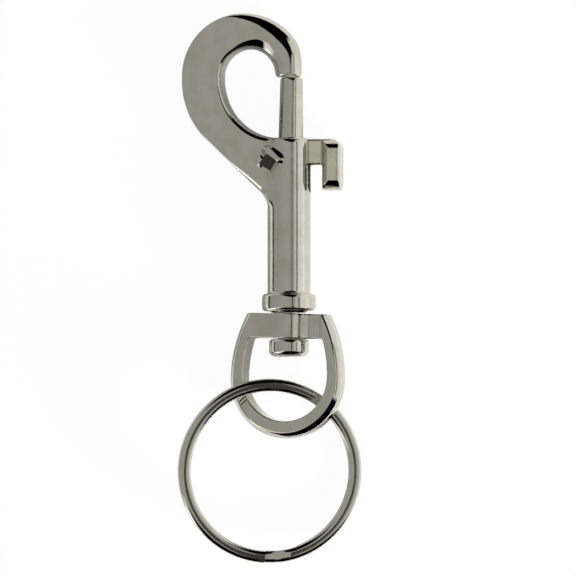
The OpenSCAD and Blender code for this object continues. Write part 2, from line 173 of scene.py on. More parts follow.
# %% The four finishes
# Nickel on polished die-cast zinc: a warm grey mirror whose reflections tremble a little
cast_nickel = cloudy_metal("bright_nickel_on_casting", light="#D2D0C6", dark="#C8C5B9",
                           roughness=0.05, ripple_mm=0.5, ripple_depth=0.004)
# Nickel on zinc that was left as cast: a pale, even sheen with no clear reflection
raw_nickel = cloudy_metal("nickel_on_rough_cast_skin", light="#F8F1DE", dark="#EBE3CD",
                          roughness=0.30, ripple_mm=0.4, ripple_depth=0.03)
# Nickel on rolled steel wire: a mirror with long, slow waves along the wire
wire_nickel = cloudy_metal("bright_nickel_on_wire", light="#D1CFC6", dark="#CDCBC1",
                           roughness=0.08, ripple_mm=1.5, ripple_depth=0.004)
# Steel wire drawn through a die: darker, bluish and dull
spring_steel = cloudy_metal("drawn_spring_steel", light="#9A9B9C", dark="#8E8F90",
                            roughness=0.35, ripple_mm=0.6, ripple_depth=0.002)
print("materials:", [m.name for m in bpy.data.materials])

# %% [markdown]
# ## Helpers that work as by hand
# An operator acts on everything that is selected, so each helper first selects one object alone.
# Bars, rings and turned pieces could come from curves, but a curve keeps one section. Here a flat grid
# is rolled up over a row of sections that may change as they go, and its open ends are filled.


# %% Selecting, applying and joining
def alone(piece):
    bpy.ops.object.select_all(action="DESELECT")
    piece.select_set(True)
    bpy.context.view_layer.objects.active = piece


def apply_modifier(piece, kind, **settings):
    alone(piece)
    modifier = piece.modifiers.new(kind.title(), kind)
    for name, value in settings.items():
        setattr(modifier, name, value)
    bpy.ops.object.modifier_apply(modifier=modifier.name)


def combine(piece, tool, operation):
    apply_modifier(piece, "BOOLEAN", operation=operation, object=tool, solver="EXACT")
    bpy.data.objects.remove(tool)


def join(name, *pieces):
    alone(pieces[0])
    for piece in pieces:
        piece.select_set(True)
    bpy.ops.object.join()
    pieces[0].name = name
    return pieces[0]


# %% Rolling a grid up over sections
SEAM = 0.0005


def roll_up(name, sections):
    rows, columns = len(sections[0]), len(sections) - 1
    bpy.ops.object.select_all(action="DESELECT")
    bpy.ops.mesh.primitive_grid_add(x_subdivisions=columns, y_subdivisions=rows, size=1)
    piece = bpy.context.object
    piece.name = name
    for v in piece.data.vertices:
        column = round((v.co.x + 0.5) * columns)
        row = round((v.co.y + 0.5) * rows) % rows
        v.co = sections[column][row]
    bpy.ops.object.mode_set(mode="EDIT")
    bpy.ops.mesh.select_all(action="SELECT")
    bpy.ops.mesh.remove_doubles(threshold=SEAM)
    bpy.ops.mesh.fill_holes(sides=0)
    bpy.ops.mesh.select_all(action="SELECT")
    bpy.ops.mesh.normals_make_consistent(inside=False)
    bpy.ops.object.mode_set(mode="OBJECT")
    return piece


def arc(middle, radius, start, end, steps=8):
    angles = [math.radians(start + (end - start) * i / steps) for i in range(steps + 1)]
    return [(middle[0] + radius * math.cos(a), middle[1] + radius * math.sin(a)) for a in angles]


def soft_rectangle(half_w, half_h, right, left, steps=8):
    points = []
    for corner, (sx, sy) in enumerate([(1, 1), (-1, 1), (-1, -1), (1, -1)]):
        edge_w, edge_h = right if sx > 0 else left
        for x, y in arc((0, 0), 1, 90 * corner, 90 * corner + 90, steps):
            points.append((sx * (half_w - edge_w) + edge_w * x, sy * (half_h - edge_h) + edge_h * y))
    return points


def ease(x, low, high):
    t = min(1, max(0, (x - low) / (high - low)))
    return t * t * (3 - 2 * t)


def mix(a, b, t):
    return a + (b - a) * t


# %% [markdown]
# ## The hook
# The hook is a flat bar, 5.2 mm thick, that bends round from the barrel and grows round towards its
# nose. A bent and bevelled block would be hard to steer here. The outline is a few arcs instead,
# measured along rays from the middle of the top arc. A section is placed on each ray, and a grid is
# rolled up over the sections.

# %% Sizes of the hook
BARREL_R = 3.75
BARREL_L = 30.1
HOOK_REACH = 11.8  # from the barrel's axis to the mouth's far side
HOOK_OUT = 18.6  # from the axis to the hook's far side
HOOK_RISE = 10.85  # from the barrel's rim to the middle of the top arc
HOOK_T = 5.2
TOP_R = 10.85
LOW_R = 14.2
LOW_DROP = 0.9
MOUTH_TOP_R = 4.7
MOUTH_LOW_R = 10.4
WEB_NORMAL = math.radians(226)
NOSE_DROP = 0.3
hook_middle = Vector((TOP_R - HOOK_OUT, BARREL_L + HOOK_RISE))
low_middle = Vector((LOW_R - HOOK_OUT, hook_middle.y - LOW_DROP)) - hook_middle
mouth_top = Vector((MOUTH_TOP_R - HOOK_REACH, hook_middle.y)) - hook_middle
mouth_low = Vector((MOUTH_LOW_R - HOOK_REACH, BARREL_L + MOUTH_LOW_R)) - hook_middle
web_way = Vector((math.cos(WEB_NORMAL), math.sin(WEB_NORMAL)))
web_foot = low_middle + LOW_R * web_way
web_distance = web_foot.dot(web_way)
web_start = 360 + math.degrees(math.atan2(web_foot.y, web_foot.x))
nose_end = hook_middle.y - NOSE_DROP
print("middle of the hook's top arc", tuple(round(c, 2) for c in hook_middle))

# %% Outlines along each ray, in degrees from the nose
NOSE_TURN = 75
NOSE_SIDE = 2.3
NOSE_SQUARE = 24  # a higher power makes the nose's shoulder squarer
HALF_TURN = 180
ROOT_TURN = 285
root_x = BARREL_R / 2 - hook_middle.x


def ray(middle, radius, degrees):
    a = math.radians(degrees)
    along = middle.x * math.cos(a) + middle.y * math.sin(a)
    return along + math.sqrt(along * along - middle.length_squared + radius * radius)


def hook_outer(degrees):
    a = math.radians(degrees)
    if degrees < NOSE_TURN:
        side = (NOSE_SIDE - hook_middle.x) / math.cos(a)
        return (TOP_R ** -NOSE_SQUARE + side ** -NOSE_SQUARE) ** (-1 / NOSE_SQUARE)
    if degrees < HALF_TURN:
        return TOP_R
    if degrees < web_start:
        return ray(low_middle, LOW_R, degrees)
    web = web_distance / math.cos(a - WEB_NORMAL)
    return web if degrees < ROOT_TURN else min(web, root_x / math.cos(a))


def hook_inner(degrees):
    if degrees < HALF_TURN:
        return ray(mouth_top, MOUTH_TOP_R, degrees)
    return ray(mouth_low, MOUTH_LOW_R, degrees)


# %% The hook's sections
NOSE_T = 4.4
NOSE_EDGE = 0.6
ROUNDNESS = 0.97  # of the nose's section, where 1 is an ellipse
OUTER_EDGE = (0.25, 1.7)
INNER_EDGE = (0.7, 1.2)
THICKENS = (20, 110)
FLATTENS = (45, 118)
OUTER_SOFTENS = (258, 280)
INNER_SOFTENS = (215, 285)


def hook_section(degrees, inset):
    half_w = (hook_outer(degrees) - hook_inner(degrees)) / 2 - inset
    half_h = mix(NOSE_T, HOOK_T, ease(degrees, *THICKENS)) / 2 - inset
    flat = ease(degrees, *FLATTENS)
    outer = mix(*OUTER_EDGE, ease(degrees, *OUTER_SOFTENS))
    inner = mix(*INNER_EDGE, ease(degrees, *INNER_SOFTENS))
    right, left = [[mix(ROUNDNESS * half, edge, flat) for half in (half_w, half_h)]
                   for edge in (outer, inner)]
    return soft_rectangle(half_w, half_h, right, left)


def hook_station(degrees):
    a = math.radians(degrees)
    middle = (hook_outer(degrees) + hook_inner(degrees)) / 2
    return [(hook_middle.x + (middle + p) * math.cos(a),
             hook_middle.y + (middle + p) * math.sin(a), q)
            for p, q in hook_section(degrees, 0)]


def nose_station(degrees):
    a = math.radians(degrees)
    middle = hook_middle.x + (hook_outer(0) + hook_inner(0)) / 2
    return [(middle + p, nose_end + NOSE_EDGE * (1 - math.cos(a)), q)
            for p, q in hook_section(0, NOSE_EDGE * (1 - math.sin(a)))]


# %% The hook rolled up, from its root in the barrel to its nose
HOOK_FROM = 301.5
HOOK_STEP = 1.5
HOOK_STATIONS = 198
NOSE_TURNS = (90, 75, 60, 45, 30, 15, 0)
hook = roll_up("hook", [hook_station(HOOK_FROM - HOOK_STEP * i) for i in range(HOOK_STATIONS)]
               + [nose_station(t) for t in NOSE_TURNS])
print("hook points:", len(hook.data.vertices))

# %% [markdown]
# ## The barrel
# Barrel, collar and neck are one turned form. Cylinders could be stacked and bevelled, but one profile
# that is turned about Y gives all the rounded rims at once.

# %% Barrel, collar and neck
POLE_R = 0.01  # a profile starts a hair off the axis, and its end is filled
COLLAR_R = 4.7
COLLAR_H = 3.0
COLLAR_EDGE = 0.6
NECK_R = 3.15
NECK_H = 0.3
RIM_EDGE = 0.8


def turned(name, profile, sides=160):
    around = [2 * math.pi * i / sides for i in range(sides)]
    return roll_up(name, [[(r * math.cos(a), y, r * math.sin(a)) for a in around] for r, y in profile])


barrel = turned("barrel", [(POLE_R, -NECK_H), (NECK_R, -NECK_H), (NECK_R, 0)]
                + arc((COLLAR_R - COLLAR_EDGE, COLLAR_EDGE), COLLAR_EDGE, -90, 0)
                + arc((COLLAR_R - COLLAR_EDGE, COLLAR_H - COLLAR_EDGE), COLLAR_EDGE, 0, 90)
                + [(BARREL_R, COLLAR_H)]
                + arc((BARREL_R - RIM_EDGE, BARREL_L - RIM_EDGE), RIM_EDGE, 0, 90)
                + [(POLE_R, BARREL_L)])
print("barrel points:", len(barrel.data.vertices))

# %% [markdown]
# ## The foot of the web
# Where the hook's flat web meets the round barrel, the casting has a fillet below, which fades out on
# the barrel's side, and a hollow cheek on each face. A bevel can't make them, because the hook and the
# barrel aren't one mesh yet. So each is rolled up as a small form that overlaps both.

# %% Fillet below the web
FILLET_R = 2.5
FILLET_HALF = 1.4
FILLET_EDGE = 0.35  # at the web
FILLET_SIDE = (1.05, 2.4)  # at the barrel
FILLET_INSIDE = (0.3, 0.3)
FILLET_STEPS = 12
TAIL_L = 2.0
TAIL_IN = 1.3
TAIL_STEPS = 8
fillet_x = -BARREL_R - FILLET_R
fillet_y = hook_middle.y + (web_distance + FILLET_R - (fillet_x - hook_middle.x) * web_way.x) / web_way.y
web_side = math.degrees(WEB_NORMAL) - 180


def fillet_station(degrees, tail):
    a = math.radians(degrees)
    reach = FILLET_R + FILLET_HALF
    edge = [mix(side, FILLET_EDGE, ease(degrees, 0, web_side)) for side in FILLET_SIDE]
    return [(fillet_x + (reach + p) * math.cos(a) + TAIL_IN * ease(tail, 0, 1),
             fillet_y + (reach + p) * math.sin(a) - TAIL_L * tail, q)
            for p, q in soft_rectangle(FILLET_HALF, HOOK_T / 2, FILLET_INSIDE, edge)]


bend = [fillet_station(web_side * (1 - i / FILLET_STEPS), 0) for i in range(FILLET_STEPS + 1)]
fade = [fillet_station(0, i / TAIL_STEPS) for i in range(1, TAIL_STEPS + 1)]
fillet = roll_up("fillet", bend + fade)
print("fillet points:", len(fillet.data.vertices))

# %% Cheeks that lead the web's faces onto the barrel
CHEEK_R = 4.0
CHEEK_ROUND = 1.0
CHEEK_SUNK = 0.02
CHEEK_IN = 1.2
CHEEK_CORE = 2.5
CHEEK_BELOW = 1
CHEEK_POINTS = 10
CHEEK_ROWS = 24
CHEEK_TURNS = (15, 30, 45, 60, 75, 89)
cheek_z = HOOK_T / 2 + CHEEK_R - CHEEK_SUNK
cheek_x = math.sqrt((BARREL_R + CHEEK_R - CHEEK_SUNK) ** 2 - cheek_z ** 2)
cheek_end = -cheek_x * BARREL_R / (BARREL_R + CHEEK_R)


def web_outline(y):
    if y > fillet_y + FILLET_R * math.sin(math.radians(web_side)):
        return hook_middle.x + (web_distance - (y - hook_middle.y) * web_way.y) / web_way.x
    if y > fillet_y:
        return fillet_x + math.sqrt(FILLET_R ** 2 - (y - fillet_y) ** 2)
    return -BARREL_R + TAIL_IN * ease(fillet_y - y, 0, TAIL_L)


def cheek_station(y, side):
    over = max(0, y - BARREL_L + CHEEK_ROUND)
    drop = CHEEK_ROUND - math.sqrt(CHEEK_ROUND ** 2 - over ** 2)
    start = max(-cheek_x, web_outline(y) + CHEEK_IN)
    across = [mix(start, cheek_end, i / CHEEK_POINTS) for i in range(CHEEK_POINTS + 1)]
    rise = [(x, y, side * (cheek_z - math.sqrt(CHEEK_R ** 2 - (x + cheek_x) ** 2) - drop))
            for x in across]
    return rise + [(0, y, side * CHEEK_CORE), (0, y, 0), (start, y, 0)]


def cheek(side):
    low, high = fillet_y - CHEEK_BELOW, BARREL_L - CHEEK_ROUND
    rows = [mix(low, high, i / CHEEK_ROWS) for i in range(CHEEK_ROWS + 1)]
    rows += [high + CHEEK_ROUND * math.sin(math.radians(a)) for a in CHEEK_TURNS]
    return roll_up("cheek", [cheek_station(y, side) for y in rows])


front_cheek, back_cheek = cheek(1), cheek(-1)
print("cheek points:", len(front_cheek.data.vertices))

# %% [markdown]
# ## One casting with a stake mark
# A punch was driven into the front beside the bore, and it pushed up a ridge and a small lip. Both are
# flattened spheres. A Boolean union would leave a sharp crease round each form. A voxel remesh fuses
# them all, as the metal does in the mould, and a little smoothing gives a casting's soft inner corners.
# The dent itself is a slanted block, cut afterwards so that its edges stay crisp.


# %% Ridge and lip
def slant(turn, lean):
    return Matrix.Rotation(math.radians(turn), 4, "Z") @ Matrix.Rotation(math.radians(lean), 4, "Y")


def dome(name, middle, size, turn, lean):
    bpy.ops.object.select_all(action="DESELECT")
    bpy.ops.mesh.primitive_uv_sphere_add(segments=48, ring_count=24, radius=1)
    piece = bpy.context.object
    piece.name = name
    size = Matrix.Diagonal((*size, 1))
    piece.data.transform(Matrix.Translation(middle) @ slant(turn, lean) @ size)
    return piece


ridge = dome("ridge", middle=(-2.25, 27.15, 2.95), size=(2.5, 1.25, 0.9), turn=-33, lean=-18)
lip = dome("lip", middle=(-4.5, 26.1, 2.4), size=(1.0, 1.2, 0.55), turn=0, lean=0)
print("stake mark points:", len(ridge.data.vertices) + len(lip.data.vertices))

# %% Fusing and smoothing
SOFT_X = (-4.6, -1.2)
SOFT_Y = (fillet_y - 4.5, fillet_y + 3)
SOFT_Z = (1.3, 3.7)


def cast(piece, voxel, rounds):
    apply_modifier(piece, "REMESH", mode="VOXEL", voxel_size=voxel)
    apply_modifier(piece, "SMOOTH", factor=0.5, iterations=rounds)
    print(piece.name, "faces:", len(piece.data.polygons))


def soften(piece, low, high, rounds):
    alone(piece)
    bpy.ops.object.mode_set(mode="EDIT")
    bpy.ops.mesh.select_mode(type="VERT")
    bpy.ops.mesh.select_all(action="DESELECT")
    mesh = bmesh.from_edit_mesh(piece.data)
    for v in mesh.verts:
        v.select = all(a < c < b for a, c, b in zip(low, v.co, high))
    bmesh.update_edit_mesh(piece.data)
    bpy.ops.mesh.vertices_smooth(factor=0.5, repeat=rounds)
    bpy.ops.object.mode_set(mode="OBJECT")


body = join("body", hook, barrel, fillet, front_cheek, back_cheek, ridge, lip)
cast(body, voxel=0.16, rounds=8)
for side in (1, -1):
    low_z, high_z = sorted(side * z for z in SOFT_Z)
    soften(body, (SOFT_X[0], SOFT_Y[0], low_z), (SOFT_X[1], SOFT_Y[1], high_z), rounds=30)

# %% The punch's dent
PUNCH_LOW = (-1.35, -1.15, -0.45)
PUNCH_HIGH = (1.3, 1.15, 3)
PUNCH_AT = (-3.0, 25.7, 2.65)
PUNCH_TURN = -36
PUNCH_LEAN = 22


def block(name, low, high):
    bpy.ops.object.select_all(action="DESELECT")
    bpy.ops.mesh.primitive_cube_add(size=1)
    piece = bpy.context.object
    piece.name = name
    low, high = Vector(low), Vector(high)
    size = Matrix.Diagonal((*(high - low), 1))
    piece.data.transform(Matrix.Translation((low + high) / 2) @ size)
    return piece


punch = block("punch", PUNCH_LOW, PUNCH_HIGH)
punch.data.transform(Matrix.Translation(PUNCH_AT) @ slant(PUNCH_TURN, PUNCH_LEAN))
combine(body, punch, "DIFFERENCE")
print("body faces with the dent:", len(body.data.polygons))

# %% [markdown]
# ## Bore, slot and seat
# The bore is drilled, the lever's slot is sawn with a round end, and the nose has a small seat above the
# bolt's tip. They could be in the form before the remesh, but that would round their edges. They are cut
# last with exact Booleans, and the slivers that such cuts leave are then welded away.

# %% Cuts in the casting
BORE_R = 2.5
BORE_ENDS = (-2, BARREL_L + 3)
SLOT_W = 2.3
SLOT_LOW = 20.6
SLOT_TOP = BARREL_L + 0.5
SLOT_REACH = 8
SEAT_R = 1.0
SEAT_X = 0.35
SEAT_TOP = 0.8
SEAT_DEPTH = (0.3, 4)


def cylinder(name, radius, start, end, sides=160):
    start, end = Vector(start), Vector(end)
    bpy.ops.object.select_all(action="DESELECT")
    bpy.ops.mesh.primitive_cylinder_add(vertices=sides, radius=radius, depth=(end - start).length)
    piece = bpy.context.object
    piece.name = name
    turn = Vector((0, 0, 1)).rotation_difference(end - start).to_matrix().to_4x4()
    piece.data.transform(Matrix.Translation((start + end) / 2) @ turn)
    return piece


slot_end = SLOT_LOW + SLOT_W / 2
seat_y = nose_end + SEAT_TOP - SEAT_R
bore = cylinder("bore", BORE_R, *[(0, y, 0) for y in BORE_ENDS])
combine(body, bore, "DIFFERENCE")
slot = block("slot", (0, slot_end, -SLOT_W / 2), (SLOT_REACH, SLOT_TOP, SLOT_W / 2))
combine(body, slot, "DIFFERENCE")
round_end = cylinder("slot_end", SLOT_W / 2, (0, slot_end, 0), (SLOT_REACH, slot_end, 0))
combine(body, round_end, "DIFFERENCE")
seat = cylinder("seat", SEAT_R, *[(SEAT_X, seat_y, z) for z in SEAT_DEPTH])
combine(body, seat, "DIFFERENCE")
print("body faces with the cuts:", len(body.data.polygons))

# %% Clean the mesh and lay the casting down
WELD = 0.005
SLIVER = 0.002
SHARP_ANGLE = 40


def clean(piece):
    alone(piece)
    bpy.ops.object.mode_set(mode="EDIT")
    bpy.ops.mesh.select_all(action="SELECT")
    bpy.ops.mesh.quads_convert_to_tris(quad_method="BEAUTY", ngon_method="BEAUTY")
    bpy.ops.mesh.remove_doubles(threshold=WELD)
    bpy.ops.mesh.dissolve_degenerate(threshold=SLIVER)
    bpy.ops.object.mode_set(mode="OBJECT")


def settle(piece, placed, material, body, node):
    alone(piece)
    piece.matrix_world = placed
    bpy.ops.object.transform_apply(location=True, rotation=True, scale=True)
    bpy.ops.object.shade_smooth_by_angle(angle=math.radians(SHARP_ANGLE))
    piece.data.materials.clear()
    piece.data.materials.append(material)
    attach(piece, body)
    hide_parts(node)
    low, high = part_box(node)
    print(piece.name, "stands for", node, "of size mm", [round(c / MM, 2) for c in high - low])


clean(body)
settle(body, laid(BODY_ROLL), cast_nickel, "snap", "snap_body")

# %% [markdown]
# ## The bolt
# The bolt is a tapered round rod that leans a little, on a guide that runs in the bore. A flat lever
# bar passes through the slot to a thumb pad with well rounded ends. One bevel can't give the pad a
# different round on each edge, so three bevelled blocks are intersected. The remesh then fuses it all.

# %% Guide and rod
GUIDE_R = 2.45
GUIDE_LOW = 15.0
GUIDE_TOP = 23.3
GUIDE_EDGE = 0.3
ROD_FOOT_R = 2.25
ROD_TIP_R = 1.975
ROD_TIP_EDGE = 0.45
ROD_X = 0.18
ROD_SUNK = 0.5
ROD_CLEAR = 0.05
rod_l = nose_end - ROD_CLEAR - GUIDE_TOP
rod_lean = math.atan((ROD_FOOT_R - ROD_TIP_R) / rod_l)
guide = turned("guide", [(POLE_R, GUIDE_LOW), (GUIDE_R - GUIDE_EDGE, GUIDE_LOW),
                         (GUIDE_R, GUIDE_LOW + GUIDE_EDGE), (GUIDE_R, GUIDE_TOP - GUIDE_EDGE),
                         (GUIDE_R - GUIDE_EDGE, GUIDE_TOP), (POLE_R, GUIDE_TOP)])
rod = turned("rod", [(POLE_R, -ROD_SUNK), (ROD_FOOT_R, -ROD_SUNK)]
             + arc((ROD_TIP_R - ROD_TIP_EDGE, rod_l - ROD_TIP_EDGE), ROD_TIP_EDGE, 0, 90)
             + [(POLE_R, rod_l)])
rod.data.transform(Matrix.Translation((ROD_X, GUIDE_TOP, 0)) @ Matrix.Rotation(-rod_lean, 4, "Z"))
print("rod of", round(rod_l, 2), "mm leans by", round(math.degrees(rod_lean), 2), "degrees")

# %% Lever bar
LEVER_LOW = 25.3
LEVER_TOP = 29.9
LEVER_T = 2.0
LEVER_EDGE = 0.45
LEVER_SUNK = 1.5
PAD_IN = 6.0
LONG = 1  # an edge that runs along an axis is longer than this


def bevel(piece, pick, width, profile=0.5, segments=8):
    alone(piece)
    bpy.ops.object.mode_set(mode="EDIT")
    bpy.ops.mesh.select_mode(type="EDGE")
    bpy.ops.mesh.select_all(action="DESELECT")
    mesh = bmesh.from_edit_mesh(piece.data)
    for edge in mesh.edges:
        edge.select = pick(edge.verts[0].co, edge.verts[1].co)
    bmesh.update_edit_mesh(piece.data)
    bpy.ops.mesh.bevel(offset=width, segments=segments, profile=profile, affect="EDGES")
    bpy.ops.object.mode_set(mode="OBJECT")


bar = block("bar", (0, LEVER_LOW, -LEVER_T / 2), (PAD_IN + LEVER_SUNK, LEVER_TOP, LEVER_T / 2))
bevel(bar, lambda a, b: abs(a.x - b.x) > LONG, LEVER_EDGE)
print("bar points:", len(bar.data.vertices))

# %% Thumb pad
PAD_OUT = 9.3
PAD_H = 9.0
PAD_T = 4.4
PAD_CORNER = 1.8
PAD_END = (1.7, 0.32)  # a bevel's width and profile
PAD_INSIDE = (1.25, 0.36)
PAD_OUTSIDE = 0.6
PAST = 1
NEAR = 0.1
pad_low = LEVER_TOP - PAD_H
pad = block("pad", (PAD_IN, pad_low, -PAD_T / 2), (PAD_OUT, LEVER_TOP, PAD_T / 2))
bevel(pad, lambda a, b: abs(a.z - b.z) > LONG and min(a.x, b.x) > PAD_OUT - NEAR
      and min(a.y, b.y) > LEVER_TOP - NEAR, PAD_CORNER)
ends = block("ends", (PAD_IN - PAST, pad_low, -PAD_T / 2), (PAD_OUT + PAST, LEVER_TOP, PAD_T / 2))
bevel(ends, lambda a, b: abs(a.x - b.x) > LONG, *PAD_END)
combine(pad, ends, "INTERSECT")
sides = block("sides", (PAD_IN, pad_low - PAST, -PAD_T / 2), (PAD_OUT, LEVER_TOP + PAST, PAD_T / 2))
bevel(sides, lambda a, b: abs(a.y - b.y) > LONG and a.x < PAD_IN + NEAR, *PAD_INSIDE)
bevel(sides, lambda a, b: abs(a.y - b.y) > LONG and a.x > PAD_OUT - NEAR, PAD_OUTSIDE)
combine(pad, sides, "INTERSECT")
print("pad points:", len(pad.data.vertices))

# %% The bolt as one casting, with the pad's flat faces left as cast
FLAT = 0.97  # how squarely a face looks up or down
bolt = join("bolt_and_lever", guide, rod, bar, pad)
cast(bolt, voxel=0.12, rounds=6)
settle(bolt, laid(BODY_ROLL), cast_nickel, "bolt", "bolt")
bolt.data.materials.append(raw_nickel)
thumb_side = (laid(BODY_ROLL) @ Vector((BARREL_R, 0, 0))).x
for face in bolt.data.polygons:
    if face.center.x > thumb_side and abs(face.normal.z) > FLAT:
        face.material_index = 1
print("raw faces:", sum(face.material_index for face in bolt.data.polygons))

# %% [markdown]
# ## The bolt's spring
# The spring is hidden in the bore between the plug and the guide. A Screw modifier could wind it, but
# the same rolled-up grid gives the coil with closed ends. It shortens as the bolt is drawn back.

# %% Spring coil
WIRE_R = 0.25
WIRE_SIDES = 12
COIL_R = 2.1
COIL_LOW = 3.47
COIL_HIGH = 14.73
COIL_STEPS = 240
TURNS = 8


def coil_section(t):
    a = 2 * math.pi * TURNS * t
    y = mix(COIL_LOW, COIL_HIGH, t)
    around = [2 * math.pi * k / WIRE_SIDES for k in range(WIRE_SIDES)]
    return [((COIL_R + WIRE_R * math.cos(b)) * math.cos(a), y + WIRE_R * math.sin(b),
             (COIL_R + WIRE_R * math.cos(b)) * math.sin(a)) for b in around]


spring = roll_up("spring", [coil_section(i / COIL_STEPS) for i in range(COIL_STEPS + 1)])
settle(spring, laid(BODY_ROLL), spring_steel, "snap", "bolt_spring")
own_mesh(spring)

# %% [markdown]
# ## The swivel stud
# The stud is a turned rivet: its rounded head carries the eye, its shank passes through the eye's bar,
# and its plug closes the bore. It could be three bevelled cylinders, but it is turned from one profile,
# as it is on a lathe.

# %% Stud
HEAD_R = 3.5
HEAD_TOP = -4.89
HEAD_TOP_EDGE = 0.6
HEAD_LOW = -7.89
HEAD_LOW_EDGE = 1.1
SHANK_R = 1.9
PLUG_R = 2.49
PLUG_TOP = 3.2
stud = turned("stud", [(POLE_R, HEAD_LOW)]
              + arc((HEAD_R - HEAD_LOW_EDGE, HEAD_LOW + HEAD_LOW_EDGE), HEAD_LOW_EDGE, -90, 0)
              + arc((HEAD_R - HEAD_TOP_EDGE, HEAD_TOP - HEAD_TOP_EDGE), HEAD_TOP_EDGE, 0, 90)
              + [(SHANK_R, HEAD_TOP), (SHANK_R, -NECK_H), (PLUG_R, -NECK_H),
                 (PLUG_R, PLUG_TOP), (POLE_R, PLUG_TOP)])
settle(stud, laid(BODY_ROLL), cast_nickel, "snap", "swivel_stud")

# %% [markdown]
# ## The swivel eye
# The eye is a D: a round bow, two legs that lean in, and a bar with a swelling for the stud. A bent
# curve would round the whole section, but the casting is flat with soft rims. So each outline is a disc
# with a rounded rim. Half discs and lenses are cut from the discs, and the remesh fuses them.

# %% Bow, legs and opening
EYE_TOP = -0.42
EYE_T = 3.8
EYE_EDGE = 1.0
EYE_PROFILE = 0.32
BOW_R = 10.25
BOW_Y = -11.87
LEG_R = 24.5
LEG_W = 2.5
LOOP_R = 7.75
LOOP_Y = -11.37
BAR_LOW = -4.77
DISC_SIDES = 360
LAP = 0.01


def cut_flat(piece, point, outward):
    alone(piece)
    bpy.ops.object.mode_set(mode="EDIT")
    bpy.ops.mesh.select_all(action="SELECT")
    bpy.ops.mesh.bisect(plane_co=point, plane_no=outward, use_fill=True, clear_outer=True)
    bpy.ops.object.mode_set(mode="OBJECT")
    return piece


def rimmed_disc(name, x, y, radius, edge, thickness):
    disc = cylinder(name, radius, (x, y, -thickness / 2), (x, y, thickness / 2), DISC_SIDES)
    if edge:
        bevel(disc, lambda a, b: abs(a.z - b.z) < NEAR, edge, EYE_PROFILE)
    return disc


def d_outline(name, bow_r, y, leg_r, top, edge, thickness):
    bow = cut_flat(rimmed_disc(name, 0, y, bow_r, edge, thickness), (0, y + LAP, 0), (0, 1, 0))
    legs = rimmed_disc("left_arc", bow_r - leg_r, y, leg_r, edge, thickness)
    combine(legs, rimmed_disc("right_arc", leg_r - bow_r, y, leg_r, edge, thickness), "INTERSECT")
    cut_flat(cut_flat(legs, (0, y, 0), (0, -1, 0)), (0, top, 0), (0, 1, 0))
    combine(bow, legs, "UNION")
    return bow


eye = d_outline("eye", BOW_R, BOW_Y, LEG_R, EYE_TOP, EYE_EDGE, EYE_T)
opening = d_outline("opening", LOOP_R, LOOP_Y, LEG_R - LEG_W, BAR_LOW, 0, 2 * EYE_T)
combine(eye, opening, "DIFFERENCE")
print("eye points:", len(eye.data.vertices))

# %% The boss for the stud, with a hollow flank on each side
BOSS_R = 3.2
BOSS_FILLETS = (10.0, 2.2)
HOLE_ENDS = (-6, 1)
boss = cylinder("boss", BOSS_R, (0, BAR_LOW, 0), (0, EYE_TOP, 0))


def boss_flank(x_side, z_side, radius):
    z = EYE_T / 2 + radius
    x = math.sqrt((BOSS_R + radius) ** 2 - z ** 2)
    xs, zs = sorted((0, x_side * x)), sorted((0, z_side * z * BOSS_R / (BOSS_R + radius)))
    flank = block("flank", (xs[0], BAR_LOW, zs[0]), (xs[1], EYE_TOP, zs[1]))
    hollow = cylinder("hollow", radius, *[(x_side * x, y, z_side * z) for y in HOLE_ENDS])
    combine(flank, hollow, "DIFFERENCE")
    return flank


flanks = [boss_flank(x, z, BOSS_FILLETS[x == z]) for x in (-1, 1) for z in (-1, 1)]
print("flanks:", len(flanks))

# %% The eye as one casting, with a recess beside the boss and an ejector pin's mark
EYE_ROLL = -9.586
EYE_TILT = 1.6
EYE_VOXEL = 0.14
RECESS = [(0.9, 4.5), (1.73, 2.69), (4.2, 1.1), (6.2, 1.1), (6.6, 4.5)]
RECESS_ENDS = (BAR_LOW - 0.3, EYE_TOP + 1)
STUD_HOLE_R = 1.98
MARK_LOW = (-1.15, -20.7, EYE_T / 2 - 0.05)
MARK_HIGH = (-0.1, -19.65, 3)
eye = join("eye", eye, boss, *flanks)
apply_modifier(eye, "REMESH", mode="VOXEL", voxel_size=EYE_VOXEL)
for side in (1, -1):
    recess = [[(side * x, y, side * z) for x, z in RECESS] for y in RECESS_ENDS]
    combine(eye, roll_up("recess", recess), "DIFFERENCE")
combine(eye, cylinder("stud_hole", STUD_HOLE_R, *[(0, y, 0) for y in HOLE_ENDS]), "DIFFERENCE")
cast(eye, EYE_VOXEL, rounds=5)
combine(eye, block("ejector_mark", MARK_LOW, MARK_HIGH), "DIFFERENCE")
bar_middle = Matrix.Translation((0, (EYE_TOP + BAR_LOW) / 2, 0))
tilt = bar_middle @ Matrix.Rotation(math.radians(-EYE_TILT), 4, "Z") @ bar_middle.inverted()
settle(eye, laid(EYE_ROLL) @ tilt, cast_nickel, "eye", "swivel_eye")

# %% [markdown]
# ## The split ring
# One flat wire runs round twice. It steps from the front turn to the back turn at the far end, where
# both ends lie. Two plain rings would miss the step and the ends, so a rounded section is carried round
# both turns, and the grid is rolled up over it.

# %% Two turns of wire
RING_MEAN_R = 14.95
RING_WIRE_W = 2.1
RING_WIRE_T = 1.05
RING_GAP = 0.08
RING_EDGE = (0.8, 0.45)
RING_STEPS_DOWN = (77, 92)  # degrees between which the wire changes its turn
RING_FROM = 266
RING_STEP = 2
RING_STATIONS = 349
RING_ROLL = 17.5
RING_PITCH = 2.5
RING_MIDDLE = Vector((0, -31.76, 5.717))


